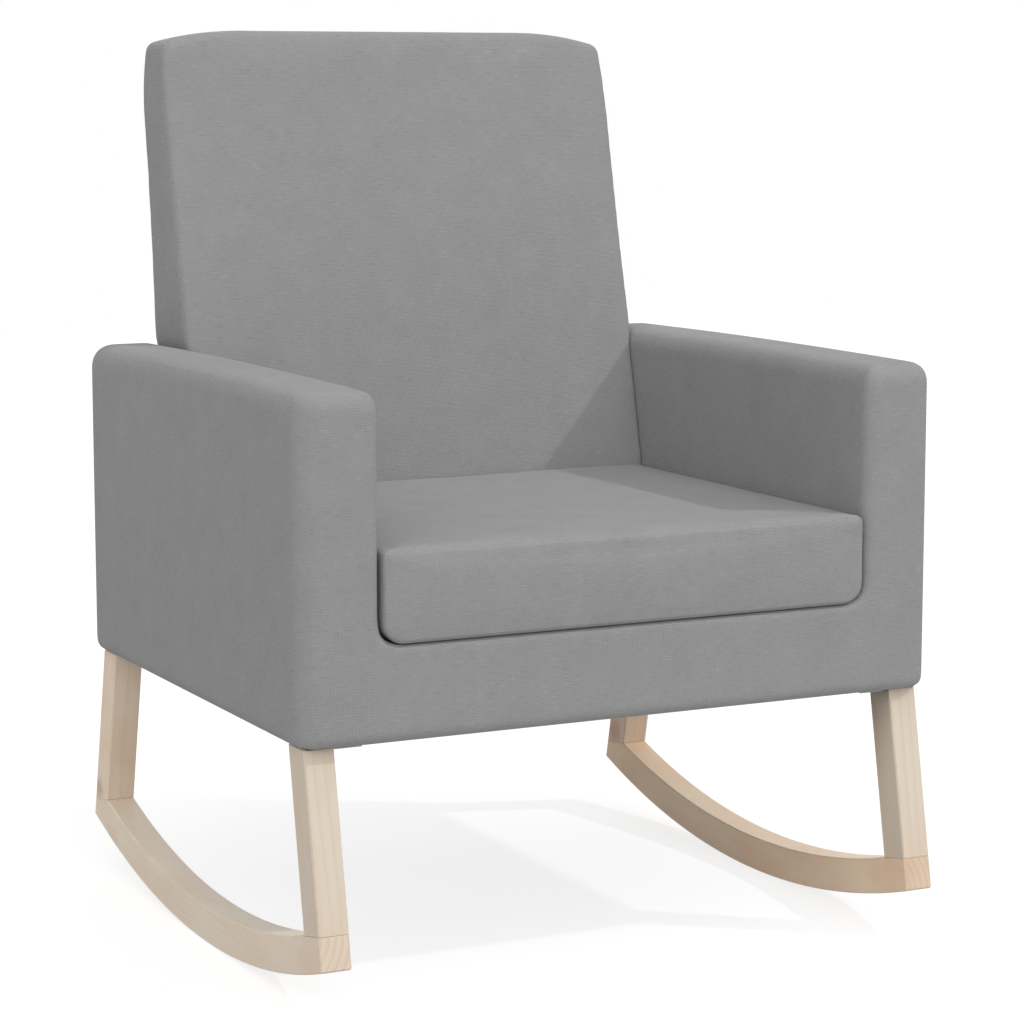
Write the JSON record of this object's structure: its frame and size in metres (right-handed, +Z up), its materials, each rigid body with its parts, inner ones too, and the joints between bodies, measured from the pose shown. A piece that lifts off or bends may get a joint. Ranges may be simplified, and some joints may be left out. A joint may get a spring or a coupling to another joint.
{
  "type": "rocking chair",
  "caption": "Low upholstered rocking chair with padded box arms, a raked backrest, a loose box seat cushion and pale timber rocker frames.",
  "frame": {"origin": "centre of the footprint at floor level, with the chair standing level on the lowest point of its runners", "axes": "+Z up, the chair faces -Y, +X to the right as seen from the front"},
  "size_m": [0.68, 0.642, 0.9],
  "materials": {
    "cover_fabric": "light grey plain-weave cover cloth, matt",
    "lining": "black spun lining cloth",
    "foam": "cream polyurethane foam",
    "webbing": "dark elastic webbing",
    "pine": "pale pine, clear matt lacquer",
    "frame_timber": "rough sawn softwood",
    "beech": "fluted beech dowel, dry",
    "zinc_steel": "zinc plated"
  },
  "bodies": {
    "chair": {"runner_left": "pine", "front_leg_left": "pine", "rear_leg_left": "pine", "front_dowel_left_1": "beech", "front_dowel_left_2": "beech", "front_leg_plate_left": "zinc_steel", "front_leg_screw_left": "zinc_steel", "front_frame_bolt_left": "zinc_steel", "front_tee_nut_left": "zinc_steel", "rear_dowel_left_1": "beech", "rear_dowel_left_2": "beech", "rear_leg_plate_left": "zinc_steel", "rear_leg_screw_left": "zinc_steel", "rear_frame_bolt_left": "zinc_steel", "rear_tee_nut_left": "zinc_steel", "runner_right": "pine", "front_leg_right": "pine", "rear_leg_right": "pine", "front_dowel_right_1": "beech", "front_dowel_right_2": "beech", "front_leg_plate_right": "zinc_steel", "front_leg_screw_right": "zinc_steel", "front_frame_bolt_right": "zinc_steel", "front_tee_nut_right": "zinc_steel", "rear_dowel_right_1": "beech", "rear_dowel_right_2": "beech", "rear_leg_plate_right": "zinc_steel", "rear_leg_screw_right": "zinc_steel", "rear_frame_bolt_right": "zinc_steel", "rear_tee_nut_right": "zinc_steel", "front_rail": "frame_timber", "rear_rail": "frame_timber", "base_rail_left": "frame_timber", "seat_side_rail_left": "frame_timber", "front_post_left": "frame_timber", "rear_post_left": "frame_timber", "arm_rail_left": "frame_timber", "base_rail_right": "frame_timber", "seat_side_rail_right": "frame_timber", "front_post_right": "frame_timber", "rear_post_right": "frame_timber", "arm_rail_right": "frame_timber", "seat_webbing": "webbing", "deck_cloth": "lining", "body_foam": "foam", "body_cover": "cover_fabric", "dust_cover": "lining", "back_top_rail": "frame_timber", "back_bottom_rail": "frame_timber", "back_stile_left": "frame_timber", "back_bolt_left_1": "zinc_steel", "back_bolt_left_2": "zinc_steel", "back_stile_right": "frame_timber", "back_bolt_right_1": "zinc_steel", "back_bolt_right_2": "zinc_steel", "back_webbing": "webbing", "back_foam": "foam", "back_cover": "cover_fabric"},
    "seat_cushion": {"cushion_foam": "foam", "cushion_cover": "cover_fabric"}
  },
  "joints": [
    {"name": "cushion_lift", "type": "slide", "parent": "chair", "child": "seat_cushion", "axis": [0, 0, 1], "range_m": [0, 0.26]}
  ]
}
